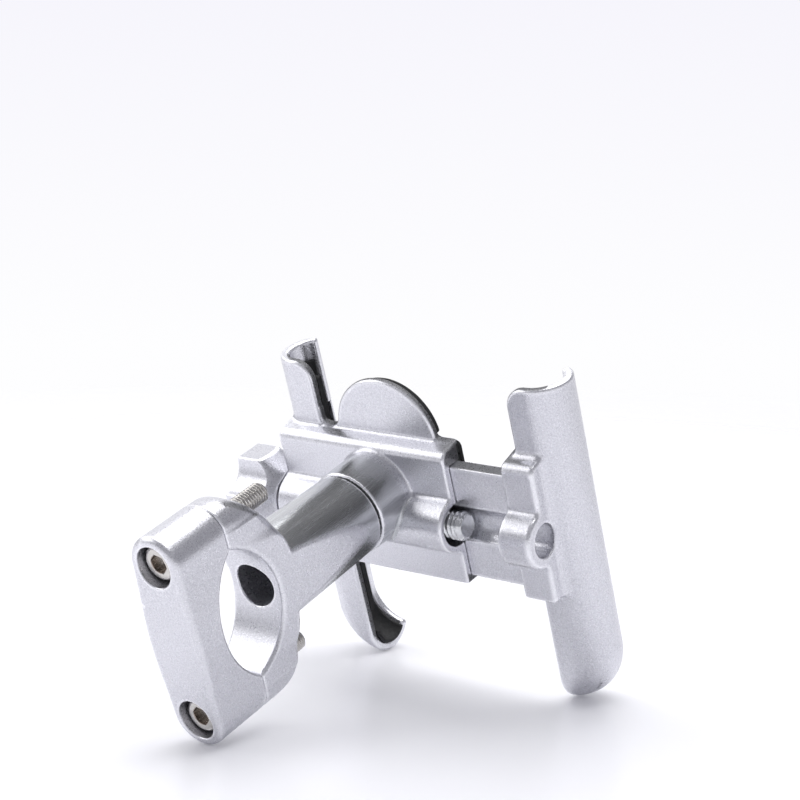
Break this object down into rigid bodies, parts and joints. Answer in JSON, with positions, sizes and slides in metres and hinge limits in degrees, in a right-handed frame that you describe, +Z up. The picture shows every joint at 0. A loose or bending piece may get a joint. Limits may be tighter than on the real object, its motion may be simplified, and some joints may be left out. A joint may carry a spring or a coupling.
{
  "type": "phone handlebar mount",
  "caption": "Cast phone cradle with a screw-driven sliding jaw, swivelling on an arm whose end clamps round a handlebar.",
  "frame": {"origin": "where the swivel axis meets the plane of the phone's back", "axes": "+X towards the adjusting knob, +Y from the phone towards the handlebar, +Z up the phone"},
  "size_m": [0.0954, 0.0923, 0.085],
  "materials": {
    "cast_silver": "bead-blasted, pearl silver",
    "steel": "zinc plated",
    "stainless": "turned stainless",
    "chrome": "bright",
    "brass": "machined",
    "rubber": "matt black",
    "nylon": "matt black"
  },
  "bodies": {
    "arm": {"clamp_arm": "cast_silver", "swivel_flat_washer": "steel", "swivel_spring_washer": "steel", "swivel_friction_washer": "nylon"},
    "cap": {"clamp_cap": "cast_silver"},
    "upper_screw": {"clamp_screw_upper": "stainless"},
    "lower_screw": {"clamp_screw_lower": "stainless"},
    "cradle": {"cradle_body": "cast_silver", "cover_plate": "steel", "cover_screws": "steel", "body_pad": "rubber", "tongue_pad": "rubber", "fixed_jaw_pad": "rubber", "fixed_foot_pad": "rubber", "screw_bush": "brass", "thrust_washer": "steel"},
    "swivel_bolt": {"swivel_bolt": "steel"},
    "knob": {"lead_screw": "chrome", "adjusting_knob": "cast_silver", "knob_grub_screw": "steel"},
    "jaw": {"sliding_jaw": "cast_silver", "drive_nut": "brass", "moving_jaw_pad": "rubber", "moving_foot_pad": "rubber"}
  },
  "joints": [
    {"name": "cradle_swivel", "type": "hinge", "parent": "arm", "child": "cradle", "pos_m": [0, 0, 0], "axis": [0, 1, 0], "continuous": true},
    {"name": "swivel_bolt_turn", "type": "hinge", "parent": "cradle", "child": "swivel_bolt", "pos_m": [0, 0.02, 0], "axis": [0, 1, 0], "range_deg": [0, 90]},
    {"name": "knob_turn", "type": "hinge", "parent": "cradle", "child": "knob", "pos_m": [0, 0.0077, -0.006], "axis": [1, 0, 0], "range_deg": [-4177, 6337]},
    {"name": "jaw_slide", "type": "slide", "parent": "cradle", "child": "jaw", "axis": [-1, 0, 0], "range_m": [-0.0145, 0.022]},
    {"name": "cap_slide", "type": "slide", "parent": "arm", "child": "cap", "axis": [0, 1, 0], "range_m": [0, 0.0127]},
    {"name": "upper_screw_turn", "type": "hinge", "parent": "cap", "child": "upper_screw", "pos_m": [0, 0.07, 0.0194], "axis": [0, 1, 0], "range_deg": [0, 5716]},
    {"name": "lower_screw_turn", "type": "hinge", "parent": "cap", "child": "lower_screw", "pos_m": [0, 0.07, -0.0194], "axis": [0, 1, 0], "range_deg": [0, 5716]}
  ],
  "couplings": [
    {"joint": "knob_turn", "follows": "jaw_slide", "rad_per_m": 5026.5},
    {"joint": "upper_screw_turn", "follows": "cap_slide", "rad_per_m": 7854},
    {"joint": "lower_screw_turn", "follows": "cap_slide", "rad_per_m": 7854}
  ]
}
